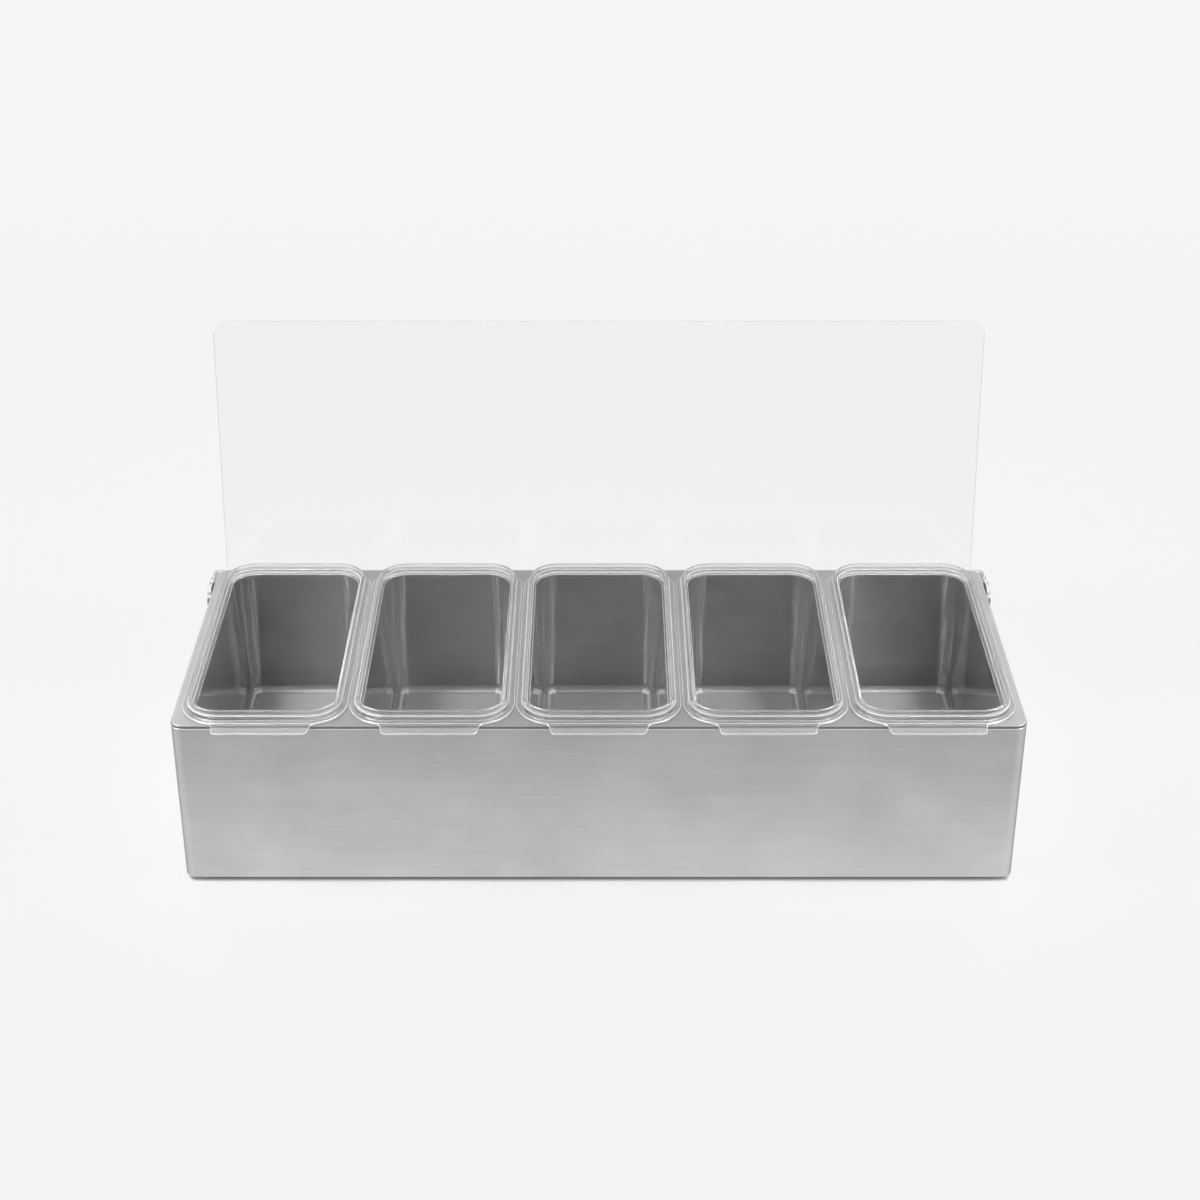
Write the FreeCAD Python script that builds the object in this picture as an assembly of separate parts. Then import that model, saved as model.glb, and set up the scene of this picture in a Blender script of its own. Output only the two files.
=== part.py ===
import FreeCAD, Part
import math
import os

from FreeCAD import Vector

# Condiment holder: a sheet-metal box with a flush deck, five clear drop-in
# inserts with thumb tabs, and one clear lid that swings on two side pivots.
# Millimetres, +X to the right, +Y to the back, +Z up, standing on z = 0.
# The lid is modelled open, leaning back against its two bumpers.

# Inserts, widths across the rim counted inwards from the flange's outer edge
insert_count = 5
insert_pitch = 98.35
insert_gap = 1.0
rim_corner = 22.5
flange_width = 3.1
flange_thickness = 1.4
flange_edge_round = 0.6
outer_step_width = 1.0
outer_step_height = 4.4
crown_width = 1.6
crown_height = 7.2
crown_round = 0.5
inner_step_width = 1.0
ledge_height = 4.2
ledge_width = 1.3
mouth_height = 1.0
insert_wall = 2.2
insert_draft = 4.0
insert_floor_corner = 10.2   # outer upright corner at the floor
insert_floor_round = 7.2

# Thumb tab
tab_root_width = 59.0
tab_tip_width = 54.8
tab_reach = 10.3             # past the deck's front edge
tab_corner = 3.0
tab_root_round = 2.5

# Box
body_depth = 194.0
body_height = 107.6          # bottom edge of the wall to the top of the deck
body_corner = 7.0
wall = 1.0
wall_top_round = 0.8
deck_end_margin = 4.625      # deck that shows beyond the end inserts
space_under_inserts = 20.4

# Deck
deck_sheet = 1.2
deck_edge_round = 0.8
seam_height = 0.9            # dark shadow line between deck and wall
seam_depth = 1.2
rim_inset = 0.5              # flange edge behind the deck's front and back edges
opening_clearance = 0.8      # round each insert's wall
deck_lip = 0.5               # deck that overhangs the flange it lies on

# Base and feet
base_sheet = 1.2
base_clearance = 0.1
foot_radius = 10.0
foot_taper = 1.0
foot_height = 3.0
foot_edge_round = 0.6
foot_front_inset = 3.2       # wall face to the foot's edge, front and back
foot_side_inset = 12.0       # wall face to the foot's edge, left and right
foot_screw_radius = 1.5
foot_screw_head_radius = 3.4
foot_screw_head_height = 1.2
foot_screw_sink = 0.5        # head above the face the foot stands on
foot_screw_clearance = 0.1
foot_head_clearance = 1.1
foot_nut_flats = 5.5
foot_nut_height = 2.4
screw_tip = 0.8              # thread that shows past a nut

# Lid and its side pivots
axis_from_back = 18.0
lid_sheet = 2.5
lid_end_inset = 4.0          # lid's side edge inside the box's end
lid_front_overhang = 2.5     # closed lid's free edge past the deck's front edge
lid_corner = 8.0
lid_lean = 9.0               # degrees past upright when open
lid_swing_clearance = 0.5
lid_hip_round = 3.0
ear_radius = 10.5
ear_side_clearance = 0.1
ear_bend_round = 2.0
spacer_thickness = 1.6
spacer_radius = 10.0
washer_thickness = 0.4
washer_radius = 7.0
shoulder_radius = 3.0
running_clearance = 0.05
head_radius = 6.2
head_height = 1.1
shank_radius = 2.0
shank_clearance = 0.1
hinge_nut_flats = 7.0
hinge_nut_height = 4.0
hinge_nut_clearance = 4.9    # nut below the wall's inward flange

# Lid bumpers on the back wall
bumper_radius = 5.0
bumper_edge_height = 1.6
bumper_side_inset = 50.0
bumper_below_axis = 3.0      # along the leaning lid
bumper_clearance = 0.35

# Places that follow from the sizes
rim_width = insert_pitch - insert_gap
rim_length = body_depth - 2 * rim_inset
crown_inset = flange_width + outer_step_width
ledge_inset = crown_inset + crown_width + inner_step_width
mouth_inset = ledge_inset + ledge_width
wall_inset = mouth_inset - insert_wall
body_width = insert_count * insert_pitch - insert_gap + 2 * deck_end_margin
return_flange = rim_inset + wall_inset - opening_clearance - deck_lip
flange_corner = max(body_corner - return_flange, wall)
insert_depth = body_height - base_sheet - space_under_inserts
deck_top = foot_height + body_height
wall_top = deck_top - deck_sheet - seam_height
foot_recess_depth = foot_screw_head_height + foot_screw_sink
axis_z = wall_top - wall - hinge_nut_clearance - hinge_nut_flats / 2
lid_width = body_width - 2 * lid_end_inset
lid_reach = body_depth - axis_from_back + lid_front_overhang
lean = math.radians(lid_lean)
axis_to_crown_back = axis_from_back - rim_inset - crown_inset
crown_above_axis = deck_top + crown_height - axis_z
lid_offset = math.hypot(axis_to_crown_back, crown_above_axis) + lid_swing_clearance
front_reach = body_depth / 2 + tab_reach
lid_back_reach = (lid_offset + lid_sheet) * math.cos(lean) + lid_reach * math.sin(lean)
back_reach = body_depth / 2 - axis_from_back + lid_back_reach
body_y = (front_reach - back_reach) / 2
back_y = body_y + body_depth / 2
axis_y = back_y - axis_from_back
ear_inner = body_width / 2 + spacer_thickness + ear_side_clearance
ear_outer = ear_inner + lid_sheet
washer_inner = ear_outer + ear_side_clearance
head_base = washer_inner + washer_thickness


def rounded_wire(corners, z=0.0):
    # Closed outline of straight runs with a tangent arc at each (x, y, radius).
    arcs = []
    for i, (x, y, radius) in enumerate(corners):
        here = Vector(x, y, z)
        back = (Vector(*corners[i - 1][:2], z) - here).normalize()
        ahead = (Vector(*corners[(i + 1) % len(corners)][:2], z) - here).normalize()
        half = back.getAngle(ahead) / 2
        reach = radius / math.tan(half)
        middle = (back + ahead).normalize() * (radius / math.sin(half) - radius)
        arcs.append((here + back * reach, here + middle, here + ahead * reach))
    edges = []
    for i, (start, middle, end) in enumerate(arcs):
        edges.append(Part.Arc(start, middle, end).toShape())
        following = arcs[(i + 1) % len(arcs)][0]
        if end.distanceToPoint(following) > 1e-6:
            edges.append(Part.makeLine(end, following))
    return Part.Wire(edges)


def rectangle(width, depth, corner):
    x = width / 2
    y = depth / 2
    return [(-x, -y, corner), (x, -y, corner), (x, y, corner), (-x, y, corner)]


def plate(corners, low, high):
    return Part.Face(rounded_wire(corners, low)).extrude(Vector(0, 0, high - low))


def moved(shape, x, y, z=0.0):
    copy = shape.copy()
    copy.translate(Vector(x, y, z))
    return copy


def edges_at(shape, z):
    # Edges that lie wholly at one height.
    return [e for e in shape.Edges if abs(e.BoundBox.ZMin - z) + abs(e.BoundBox.ZMax - z) < 1e-4]


def outline_edges_at(shape, z):
    # The edges of the outermost loop at one height.
    face = [f for f in shape.Faces if abs(f.BoundBox.ZMin - z) + abs(f.BoundBox.ZMax - z) < 1e-4][0]
    return face.OuterWire.Edges


def sharp_uprights(shape):
    # Upright edges where the two faces beside them don't run on smoothly.
    sharp = []
    for edge in shape.Edges:
        middle = edge.CenterOfMass
        beside = [f.normalAt(*f.Surface.parameter(middle)) for f in shape.ancestorsOfType(edge, Part.Face)]
        upright = edge.BoundBox.ZLength > max(edge.BoundBox.XLength, edge.BoundBox.YLength)
        if upright and beside[0].getAngle(beside[-1]) > math.radians(1):
            sharp.append(edge)
    return sharp


def cylinder_x(radius, x_from, x_to, y, z):
    low = min(x_from, x_to)
    return Part.makeCylinder(radius, abs(x_to - x_from), Vector(low, y, z), Vector(1, 0, 0))


def hexagon_plate(flats, thickness):
    radius = flats / math.sqrt(3)
    turns = [math.pi / 6 + math.pi / 3 * k for k in range(7)]
    points = [Vector(radius * math.cos(a), radius * math.sin(a), 0) for a in turns]
    return Part.Face(Part.makePolygon(points)).extrude(Vector(0, 0, thickness))


def dome(radius, height):
    # Spherical cap on the z = 0 plane, rising along +Z.
    ball = (radius ** 2 + height ** 2) / (2 * height)
    lean_angle = math.asin(radius / ball) / 2
    foot = Vector(radius, 0, 0)
    middle = Vector(ball * math.sin(lean_angle), 0, height - ball + ball * math.cos(lean_angle))
    top = Vector(0, 0, height)
    outline = [Part.makeLine(Vector(0, 0, 0), foot), Part.Arc(foot, middle, top).toShape(),
               Part.makeLine(top, Vector(0, 0, 0))]
    return Part.Face(Part.Wire(outline)).revolve(Vector(0, 0, 0), Vector(0, 0, 1), 360)


def turned_along_x(shape, side, x, y, z):
    # A shape built along +Z, laid along +X or -X with its base at x.
    copy = shape.copy()
    copy.rotate(Vector(0, 0, 0), Vector(0, 1, 0), 90 * side)
    copy.translate(Vector(x, y, z))
    return copy


def insert_centres():
    middle = (insert_count - 1) / 2
    return [(i - middle) * insert_pitch for i in range(insert_count)]


def foot_places():
    x = body_width / 2 - foot_side_inset - foot_radius
    y = body_depth / 2 - foot_front_inset - foot_radius
    return {
        "front_left": (-x, body_y - y),
        "front_right": (x, body_y - y),
        "rear_left": (-x, body_y + y),
        "rear_right": (x, body_y + y),
    }


def rim_section(inset, low, high):
    # Slab that follows the rim's outline, drawn in by an inset.
    corners = rectangle(rim_width - 2 * inset, rim_length - 2 * inset, rim_corner - inset)
    return plate(corners, low, high)


def body_wrap():
    outer = plate(rectangle(body_width, body_depth, body_corner), foot_height, wall_top)
    outer = outer.makeFillet(wall_top_round, edges_at(outer, wall_top))
    inside = rectangle(body_width - 2 * wall, body_depth - 2 * wall, body_corner - wall)
    hollow = plate(inside, foot_height, wall_top - wall)
    mouth = rectangle(body_width - 2 * return_flange, body_depth - 2 * return_flange, flange_corner)
    shell = moved(outer.cut(hollow).cut(plate(mouth, foot_height, deck_top)), 0, body_y)
    hole_end = body_width / 2 + wall
    hole = cylinder_x(shank_radius + shank_clearance, -hole_end, hole_end, axis_y, axis_z)
    return shell.cut(hole)


def deck_plate():
    top = plate(rectangle(body_width, body_depth, body_corner), deck_top - deck_sheet, deck_top)
    top = top.makeFillet(deck_edge_round, edges_at(top, deck_top))
    hem_outer = rectangle(body_width - 2 * seam_depth, body_depth - 2 * seam_depth, body_corner - seam_depth)
    hem_inner = rectangle(body_width - 2 * return_flange, body_depth - 2 * return_flange, flange_corner)
    hem_top = deck_top - deck_sheet
    hem = plate(hem_outer, wall_top, hem_top).cut(plate(hem_inner, wall_top, hem_top))
    deck = top.fuse(hem).removeSplitter()
    opening = rim_section(wall_inset - opening_clearance, wall_top, deck_top)
    for x in insert_centres():
        deck = deck.cut(moved(opening, x, 0))
    return moved(deck, 0, body_y)


def base_plate():
    edge = wall + base_clearance
    corners = rectangle(body_width - 2 * edge, body_depth - 2 * edge, body_corner - edge)
    sheet = moved(plate(corners, foot_height, foot_height + base_sheet), 0, body_y)
    hole = Part.makeCylinder(foot_screw_radius + foot_screw_clearance, base_sheet)
    for x, y in foot_places().values():
        sheet = sheet.cut(moved(hole, x, y, foot_height))
    return sheet


def foot(x, y):
    pad = Part.makeCone(foot_radius - foot_taper, foot_radius, foot_height)
    pad = pad.makeFillet(foot_edge_round, edges_at(pad, 0))
    hole = Part.makeCylinder(foot_screw_radius + foot_screw_clearance, foot_height)
    recess = Part.makeCylinder(foot_screw_head_radius + foot_head_clearance, foot_recess_depth)
    return moved(pad.cut(hole).cut(recess), x, y)


def foot_screw(x, y):
    head = dome(foot_screw_head_radius, foot_screw_head_height)
    head.rotate(Vector(0, 0, 0), Vector(1, 0, 0), 180)
    length = foot_height - foot_recess_depth + base_sheet + foot_nut_height + screw_tip
    screw = head.fuse(Part.makeCylinder(foot_screw_radius, length)).removeSplitter()
    return moved(screw, x, y, foot_recess_depth)


def foot_nut(x, y):
    nut = hexagon_plate(foot_nut_flats, foot_nut_height)
    nut = nut.cut(Part.makeCylinder(foot_screw_radius, foot_nut_height))
    return moved(nut, x, y, foot_height + base_sheet)


def tab_outline():
    root = -rim_length / 2 + rim_corner
    tip = -rim_length / 2 - rim_inset - tab_reach
    slope = (tab_root_width - tab_tip_width) / 2 / (rim_inset + tab_reach)
    root_half = tab_root_width / 2 + slope * rim_corner
    tip_half = tab_tip_width / 2
    return [(-tip_half, tip, tab_corner), (tip_half, tip, tab_corner),
            (root_half, root, tab_corner), (-root_half, root, tab_corner)]


def insert_flange():
    # Flat flange with the thumb tab at its front, one rounded outline.
    tab = plate(tab_outline(), 0, flange_thickness)
    flange = rim_section(0, 0, flange_thickness).fuse(tab).removeSplitter()
    flange = flange.makeFillet(tab_root_round, sharp_uprights(flange))
    return flange.makeFillet(flange_edge_round, outline_edges_at(flange, flange_thickness))


def tapered(top_inset, bottom_inset, bottom_corner, low, high):
    top = rectangle(rim_width - 2 * top_inset, rim_length - 2 * top_inset, rim_corner - top_inset)
    bottom = rectangle(rim_width - 2 * bottom_inset, rim_length - 2 * bottom_inset, bottom_corner)
    return Part.makeLoft([rounded_wire(bottom, low), rounded_wire(top, high)], True, True)


def insert():
    floor_inset = wall_inset + insert_draft
    bowl = tapered(wall_inset, floor_inset, insert_floor_corner, -insert_depth, 0)
    bowl = bowl.makeFillet(insert_floor_round, edges_at(bowl, -insert_depth))
    inner_floor = insert_wall - insert_depth
    inner_corner = insert_floor_corner - insert_wall
    cavity = tapered(mouth_inset, floor_inset + insert_wall, inner_corner, inner_floor, 0)
    cavity = cavity.makeFillet(insert_floor_round - insert_wall, edges_at(cavity, inner_floor))
    rim = rim_section(flange_width, 0, outer_step_height).fuse(rim_section(crown_inset, 0, crown_height))
    solid = bowl.fuse([insert_flange(), rim]).removeSplitter()
    mouth = rim_section(mouth_inset, 0, mouth_height)
    ledge = rim_section(ledge_inset, mouth_height, ledge_height)
    crown_inside = rim_section(crown_inset + crown_width, ledge_height, crown_height)
    solid = solid.cut(cavity).cut(mouth).cut(ledge).cut(crown_inside).removeSplitter()
    return solid.makeFillet(crown_round, edges_at(solid, crown_height))


def lid_panel():
    # Drawn upright: x across, y up the lid from the pivot axis.
    half = lid_width / 2
    hip = ear_outer
    outline = [(-hip, -ear_radius, ear_bend_round), (hip, -ear_radius, ear_bend_round),
               (hip, ear_radius, ear_bend_round), (half, ear_radius, lid_hip_round),
               (half, lid_reach, lid_corner), (-half, lid_reach, lid_corner),
               (-half, ear_radius, lid_hip_round), (-hip, ear_radius, ear_bend_round)]
    panel = plate(outline, 0, lid_sheet)
    panel.rotate(Vector(0, 0, 0), Vector(1, 0, 0), 90)
    return moved(panel, 0, lid_offset + lid_sheet)


def lid_ear(side):
    # Flat lobe round the pivot, joined to the panel's side edge.
    back = lid_offset + lid_sheet
    strip = Part.makeBox(lid_sheet, back, 2 * ear_radius, Vector(ear_inner, 0, -ear_radius))
    lobe = strip.fuse(cylinder_x(ear_radius, ear_inner, ear_outer, 0, 0))
    lobe = lobe.cut(cylinder_x(shoulder_radius + running_clearance, ear_inner, ear_outer, 0, 0))
    if side < 0:
        lobe = lobe.mirror(Vector(0, 0, 0), Vector(1, 0, 0))
    return lobe


def lid():
    sheet = lid_panel().fuse([lid_ear(-1), lid_ear(1)]).removeSplitter()
    back = lid_offset + lid_sheet
    bends = [e for e in sheet.Edges
             if abs(abs(e.BoundBox.Center.x) - ear_outer) < 1e-3
             and abs(e.BoundBox.Center.y - back) < 1e-3
             and e.BoundBox.ZLength > ear_radius]
    sheet = sheet.makeFillet(ear_bend_round, bends)
    sheet.rotate(Vector(0, 0, 0), Vector(1, 0, 0), -lid_lean)
    return moved(sheet, 0, axis_y, axis_z)


def hinge_screw(side):
    shank_end = body_width / 2 - wall - hinge_nut_height - screw_tip
    shank = cylinder_x(shank_radius, shank_end, body_width / 2, 0, 0)
    shoulder = cylinder_x(shoulder_radius, body_width / 2, head_base, 0, 0)
    head = turned_along_x(dome(head_radius, head_height), 1, head_base, 0, 0)
    screw = shank.fuse([shoulder, head]).removeSplitter()
    if side < 0:
        screw = screw.mirror(Vector(0, 0, 0), Vector(1, 0, 0))
    return moved(screw, 0, axis_y, axis_z)


def hinge_ring(side, radius, x_from, thickness):
    ring = cylinder_x(radius, side * x_from, side * (x_from + thickness), axis_y, axis_z)
    bore = cylinder_x(shoulder_radius + running_clearance, side * x_from,
                      side * (x_from + thickness), axis_y, axis_z)
    return ring.cut(bore)


def hinge_nut(side):
    nut = hexagon_plate(hinge_nut_flats, hinge_nut_height)
    nut = nut.cut(Part.makeCylinder(shank_radius, hinge_nut_height))
    return turned_along_x(nut, -side, side * (body_width / 2 - wall), axis_y, axis_z)


def lid_bumper(side):
    x = side * (lid_width / 2 - bumper_side_inset)
    z = axis_z - lid_offset * math.sin(lean) - bumper_below_axis * math.cos(lean)
    lid_face = axis_y + lid_offset * math.cos(lean) - bumper_below_axis * math.sin(lean)
    reach = lid_face - back_y - bumper_clearance
    pad = Part.makeCylinder(bumper_radius, bumper_edge_height)
    cap = moved(dome(bumper_radius, reach - bumper_edge_height), 0, 0, bumper_edge_height)
    bumper = pad.fuse(cap).removeSplitter()
    bumper.rotate(Vector(0, 0, 0), Vector(1, 0, 0), -90)
    return moved(bumper, x, back_y, z)


def assembly():
    nodes = {
        "body_wrap": body_wrap(),
        "deck_plate": deck_plate(),
        "base_plate": base_plate(),
        "lid": lid(),
        "foot_screws": Part.makeCompound([foot_screw(x, y) for x, y in foot_places().values()]),
        "foot_nuts": Part.makeCompound([foot_nut(x, y) for x, y in foot_places().values()]),
    }
    pan = insert()
    for number, x in enumerate(insert_centres(), 1):
        nodes[f"insert_{number}"] = moved(pan, x, body_y, deck_top)
    for name, (x, y) in foot_places().items():
        nodes[f"foot_{name}"] = foot(x, y)
    for name, side in (("left", -1), ("right", 1)):
        nodes[f"hinge_screw_{name}"] = hinge_screw(side)
        nodes[f"hinge_washer_{name}"] = hinge_ring(side, washer_radius, washer_inner, washer_thickness)
        nodes[f"hinge_spacer_{name}"] = hinge_ring(side, spacer_radius, body_width / 2, spacer_thickness)
        nodes[f"hinge_nut_{name}"] = hinge_nut(side)
        nodes[f"lid_bumper_{name}"] = lid_bumper(side)
    return nodes


os.makedirs("parts", exist_ok=True)
for node, shape in assembly().items():
    shape.exportStep(f"parts/{node}.step")
    box = shape.BoundBox
    print(node, len(shape.Solids), shape.isValid(), round(shape.Volume),
          [round(v, 2) for v in (box.XMin, box.XMax, box.YMin, box.YMax, box.ZMin, box.ZMax)])
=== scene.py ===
import math

import bmesh
import bpy
from mathutils import Matrix, Vector


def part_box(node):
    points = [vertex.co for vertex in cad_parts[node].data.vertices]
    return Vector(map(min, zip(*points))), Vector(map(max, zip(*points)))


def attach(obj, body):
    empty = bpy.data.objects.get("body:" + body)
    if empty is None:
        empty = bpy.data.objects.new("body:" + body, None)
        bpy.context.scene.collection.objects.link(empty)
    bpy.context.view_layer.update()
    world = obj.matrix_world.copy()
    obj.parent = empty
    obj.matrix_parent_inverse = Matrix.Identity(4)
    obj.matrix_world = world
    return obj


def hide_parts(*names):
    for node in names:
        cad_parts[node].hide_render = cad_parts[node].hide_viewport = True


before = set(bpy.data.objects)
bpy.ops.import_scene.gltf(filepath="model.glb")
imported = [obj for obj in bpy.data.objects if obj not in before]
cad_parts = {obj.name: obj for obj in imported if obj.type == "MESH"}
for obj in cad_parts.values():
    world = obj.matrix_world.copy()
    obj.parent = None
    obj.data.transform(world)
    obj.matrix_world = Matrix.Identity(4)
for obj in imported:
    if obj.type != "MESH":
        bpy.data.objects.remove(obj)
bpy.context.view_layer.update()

mm = 0.001
print("frame loaded:", len(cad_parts), "nodes")


class Wire:  # a shader socket that takes part in Python sums
    def __init__(self, tree, socket=None):
        self.tree = tree
        self.socket = socket

    def add(self, kind, settings=None, sockets=None, out=0):
        node = self.tree.nodes.new(kind)
        for key, value in (settings or {}).items():
            setattr(node, key, value)
        for key, value in (sockets or {}).items():
            if isinstance(value, Wire):
                self.tree.links.new(value.socket, node.inputs[key])
            else:
                node.inputs[key].default_value = value
        return Wire(self.tree, node.outputs[out]) if node.outputs else None

    def sum(self, operation, first, second):
        return self.add("ShaderNodeMath", {"operation": operation}, {0: first, 1: second})

    def __add__(self, other):
        return self.sum("ADD", self, other)

    def __radd__(self, other):
        return self.sum("ADD", other, self)

    def __sub__(self, other):
        return self.sum("SUBTRACT", self, other)

    def __rsub__(self, other):
        return self.sum("SUBTRACT", other, self)

    def __mul__(self, other):
        return self.sum("MULTIPLY", self, other)

    def __rmul__(self, other):
        return self.sum("MULTIPLY", other, self)

    def clipped(self):
        return self.add("ShaderNodeClamp", None, {"Value": self})

    def eased(self, start, end):  # 0 at start, 1 at end, with soft ends
        return self.add("ShaderNodeMapRange", {"interpolation_type": "SMOOTHSTEP"},
                        {"Value": self, "From Min": start, "From Max": end})

    def blend(self, first, second):
        return self.add("ShaderNodeMix", {"data_type": "RGBA"}, {0: self, 6: first, 7: second}, out=2)


def rgba(colour):
    return (*colour, 1.0)


def newMaterial(name):
    material = bpy.data.materials.new(name)
    material.use_nodes = True
    material.node_tree.nodes.clear()
    return material, Wire(material.node_tree)


def finishShader(wire, sockets):
    shader = wire.add("ShaderNodeBsdfPrincipled", None, sockets)
    wire.add("ShaderNodeOutputMaterial", None, {"Surface": shader})


def noiseAt(wire, place, scale, detail=2.0, roughness=0.5):
    spread = wire.add("ShaderNodeMapping", None, {"Vector": place, "Scale": scale})
    return wire.add("ShaderNodeTexNoise", None,
                    {"Vector": spread, "Scale": 1.0, "Detail": detail, "Roughness": roughness})


steelLook = {
    "roughnessSpread": 0.10,
    "linePitch": 0.5 * mm,
    "lineLength": 28 * mm,
    "bandPitch": 5 * mm,
    "bandLength": 70 * mm,
    "cloudSize": 48 * mm,
    "lineDepth": 0.004 * mm,
    "lineStrength": 0.6,
    "lineShare": 0.9,  # what lines, bands and clouds give to the tone
    "bandShare": 0.35,
    "cloudShare": 1.3,
    "toneShift": 0.775,
    "brushTurn": 0.25,
    "grazing": (1.0, 1.0, 1.0),  # tint at glancing angles
}
outsideLook = {"dark": (0.53, 0.53, 0.525), "light": (0.68, 0.68, 0.675), "roughness": 0.37,
               "anisotropy": 0.7, "grazing": (0.35, 0.35, 0.35)}
insideLook = {"dark": (0.40, 0.40, 0.395), "light": (0.63, 0.63, 0.62), "roughness": 0.42, "anisotropy": 0.7}
deckLook = {"dark": (0.37, 0.37, 0.365), "light": (0.47, 0.47, 0.465), "roughness": 0.42, "anisotropy": 0.7}
# painted shade: a darker copy of the steel for the lower part of the deck's outer edge, standing for the dark
# seam under it
edgeShadeLook = {"dark": (0.26, 0.26, 0.26), "light": (0.36, 0.36, 0.355), "roughness": 0.35,
            "anisotropy": 0.0, "grazing": (0.15, 0.15, 0.15)}
floorLook = {"dark": (0.46, 0.46, 0.455), "light": (0.56, 0.56, 0.555), "roughness": 0.5, "anisotropy": 0.75}


def brushedSteel(name, across, finish):  # across: the axis that the brush lines are counted along
    look = {**steelLook, **finish}
    material, wire = newMaterial(name)
    place = wire.add("ShaderNodeTexCoord", out="Object")
    lineScale = [1 / look["lineLength"]] * 3
    bandScale = [1 / look["bandLength"]] * 3
    lineScale[across] = 1 / look["linePitch"]
    bandScale[across] = 1 / look["bandPitch"]
    lines = noiseAt(wire, place, lineScale, detail=3.0, roughness=0.65)
    bands = noiseAt(wire, place, bandScale)
    clouds = noiseAt(wire, place, [1 / look["cloudSize"]] * 3, detail=3.0)
    tone = lines * look["lineShare"] + bands * look["bandShare"] + clouds * look["cloudShare"]
    tone = tone - look["toneShift"]
    bump = wire.add("ShaderNodeBump", None,
                    {"Strength": look["lineStrength"], "Distance": look["lineDepth"], "Height": lines})
    finishShader(wire, {
        "Base Color": tone.clipped().blend(rgba(look["dark"]), rgba(look["light"])),
        "Metallic": 1.0,
        "Roughness": look["roughness"] + (lines - 0.5) * look["roughnessSpread"],
        "Anisotropic": look["anisotropy"],
        "Anisotropic Rotation": look["brushTurn"],
        "Specular Tint": rgba(look["grazing"]),
        "Normal": bump,
    })
    return material


screwLook = {
    "dark": (0.66, 0.66, 0.67),
    "light": (0.78, 0.78, 0.78),
    "markScale": (900, 900, 900),
    "roughness": 0.10,
    "roughnessSpread": 0.10,
}


def polishedSteel(name, look):
    material, wire = newMaterial(name)
    place = wire.add("ShaderNodeTexCoord", out="Object")
    marks = noiseAt(wire, place, look["markScale"], detail=3.0)
    finishShader(wire, {
        "Base Color": marks.blend(rgba(look["dark"]), rgba(look["light"])),
        "Metallic": 1.0,
        "Roughness": look["roughness"] + marks * look["roughnessSpread"],
    })
    return material


plasticLook = {
    "hazeScale": (30, 30, 30),
    "waveScale": (60, 60, 25),
    "waveStrength": 0.3,
    "roughness": 0.015,
    "roughnessSpread": 0.02,
}
insertLook = {
    **plasticLook,
    "clear": (0.966, 0.966, 0.964),
    "tint": (0.948, 0.947, 0.948),
    "ior": 1.5,
    "waviness": 0.003 * mm,
    # colour of the pale shader, which carries painted highlights and milkiness
    "milkAndHighlight": (0.87, 0.862, 0.89),
    "milkAndHighlightShade": 0.9,
    "milkAndHighlightRoughness": 0.3,
    "milkAndHighlightSpread": 0.1,
    "streakPitch": 1.4 * mm,
    "streakLength": 60 * mm,
    "streakGain": 4.0,
    "streakShift": 2.0,
}


def clearPlastic(name, look):
    material, wire = newMaterial(name)
    place = wire.add("ShaderNodeTexCoord", out="Object")
    haze = noiseAt(wire, place, look["hazeScale"])
    wave = noiseAt(wire, place, look["waveScale"])
    bump = wire.add("ShaderNodeBump", None,
                    {"Strength": look["waveStrength"], "Distance": look["waviness"], "Height": wave})
    surface = wire.add("ShaderNodeBsdfPrincipled", None, {
        "Base Color": haze.blend(rgba(look["clear"]), rgba(look["tint"])),
        "Roughness": look["roughness"] + haze * look["roughnessSpread"],
        "IOR": look["ior"],
        "Transmission Weight": 1.0,
        "Normal": bump,
    })
    if "milkAndHighlight" in look:  # pale where the moulding is thick, as milkiness, and where it turns a corner, as painted highlights on the rims' edges, the corners and the floor's line
        pitch = 1 / look["streakPitch"]
        streaks = noiseAt(wire, place, (pitch, pitch, 1 / look["streakLength"]), detail=3.0)
        shaded = [c * look["milkAndHighlightShade"] for c in look["milkAndHighlight"]]
        milkAndHighlight = wire.add("ShaderNodeBsdfPrincipled", None, {
            "Base Color": streaks.blend(rgba(shaded), rgba(look["milkAndHighlight"])),
            "Roughness": look["milkAndHighlightRoughness"] + haze * look["milkAndHighlightSpread"],
        })
        share = wire.add("ShaderNodeAttribute", {"attribute_name": "milkAndHighlight"}, out="Fac")
        streaky = wire.add("ShaderNodeAttribute", {"attribute_name": "streak"}, out="Fac")
        swing = streaks * look["streakGain"] - look["streakShift"]
        pale = (share * (1 + streaky * swing)).clipped()
        surface = wire.add("ShaderNodeMixShader", None, {0: pale, 1: surface, 2: milkAndHighlight})
    wire.add("ShaderNodeOutputMaterial", None, {"Surface": surface})
    return material


lidLook = {
    **plasticLook,
    "clear": (0.99, 0.993, 1.0),
    "tint": (0.983, 0.988, 0.997),
    "ior": 1.38,
    "waviness": 0.004 * mm,
}
lidSideDarkReflectionLook = {  # sawn sides of the sheet, tinted dark as a painted dark reflection
    **lidLook,
    "clear": (0.22, 0.23, 0.24),
    "tint": (0.18, 0.19, 0.20),
}


rubberLook = {
    "grainScale": (1800, 1800, 1800),
    "grainStrength": 0.4,
    "grainDepth": 0.05 * mm,
    "darkShare": 0.7,
    "lightShare": 1.4,
    "roughnessSpread": 0.15,
}
footLook = {**rubberLook, "grey": 0.022, "roughness": 0.62}
spacerLook = {**rubberLook, "grey": 0.018, "roughness": 0.42}


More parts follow.
